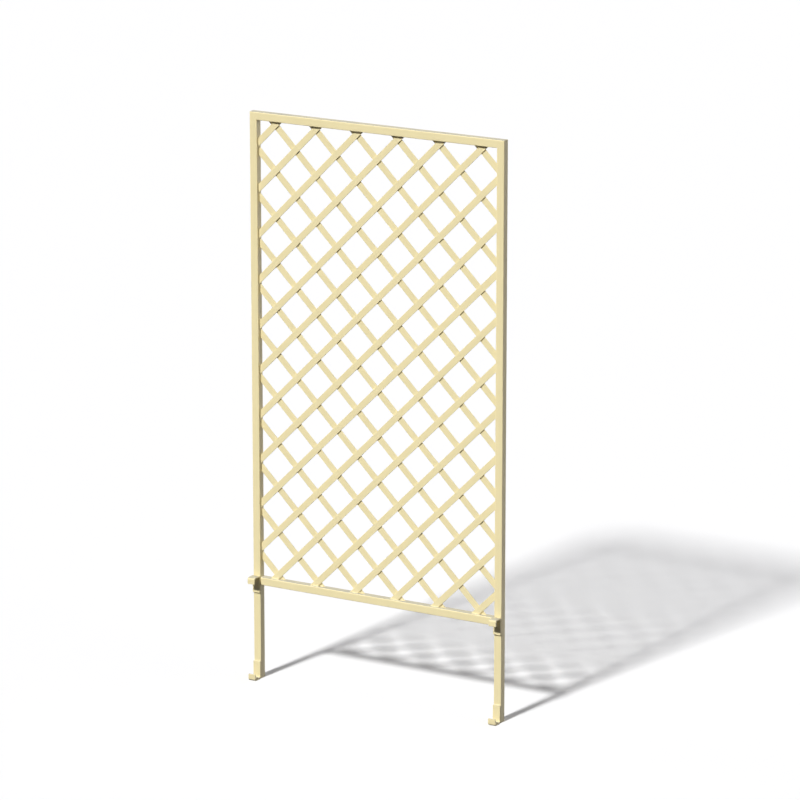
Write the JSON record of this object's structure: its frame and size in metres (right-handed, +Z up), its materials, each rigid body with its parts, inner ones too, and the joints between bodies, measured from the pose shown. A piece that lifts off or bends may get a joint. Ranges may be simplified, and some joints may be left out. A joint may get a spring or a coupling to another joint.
{
  "type": "garden trellis",
  "caption": "Upright metal lattice panel on legs, with bent hooks that clip it over and under a planter wall.",
  "frame": {"origin": "centre of the object's base, on the ground", "axes": "+X to the right seen from the front, +Y to the back, +Z up; hooks open at the front, -Y"},
  "size_m": [0.705, 0.048, 1.445],
  "materials": {
    "frame_paint": "cream powder coat, satin, on square steel tube",
    "lattice_paint": "cream powder coat, satin, on flat steel bar",
    "hook_paint": "cream powder coat, satin, on bent flat steel bar"
  },
  "bodies": {
    "root": {"left_upright": "frame_paint", "right_upright": "frame_paint", "top_rail": "frame_paint", "bottom_rail": "frame_paint", "front_bar_01": "lattice_paint", "front_bar_02": "lattice_paint", "front_bar_03": "lattice_paint", "front_bar_04": "lattice_paint", "front_bar_05": "lattice_paint", "front_bar_06": "lattice_paint", "front_bar_07": "lattice_paint", "front_bar_08": "lattice_paint", "front_bar_09": "lattice_paint", "front_bar_10": "lattice_paint", "front_bar_11": "lattice_paint", "front_bar_12": "lattice_paint", "front_bar_13": "lattice_paint", "front_bar_14": "lattice_paint", "front_bar_15": "lattice_paint", "front_bar_16": "lattice_paint", "back_bar_01": "lattice_paint", "back_bar_02": "lattice_paint", "back_bar_03": "lattice_paint", "back_bar_04": "lattice_paint", "back_bar_05": "lattice_paint", "back_bar_06": "lattice_paint", "back_bar_07": "lattice_paint", "back_bar_08": "lattice_paint", "back_bar_09": "lattice_paint", "back_bar_10": "lattice_paint", "back_bar_11": "lattice_paint", "back_bar_12": "lattice_paint", "back_bar_13": "lattice_paint", "back_bar_14": "lattice_paint", "back_bar_15": "lattice_paint", "back_bar_16": "lattice_paint", "left_rim_hook": "hook_paint", "right_rim_hook": "hook_paint", "left_foot_hook": "hook_paint", "right_foot_hook": "hook_paint"}
  },
  "joints": []
}
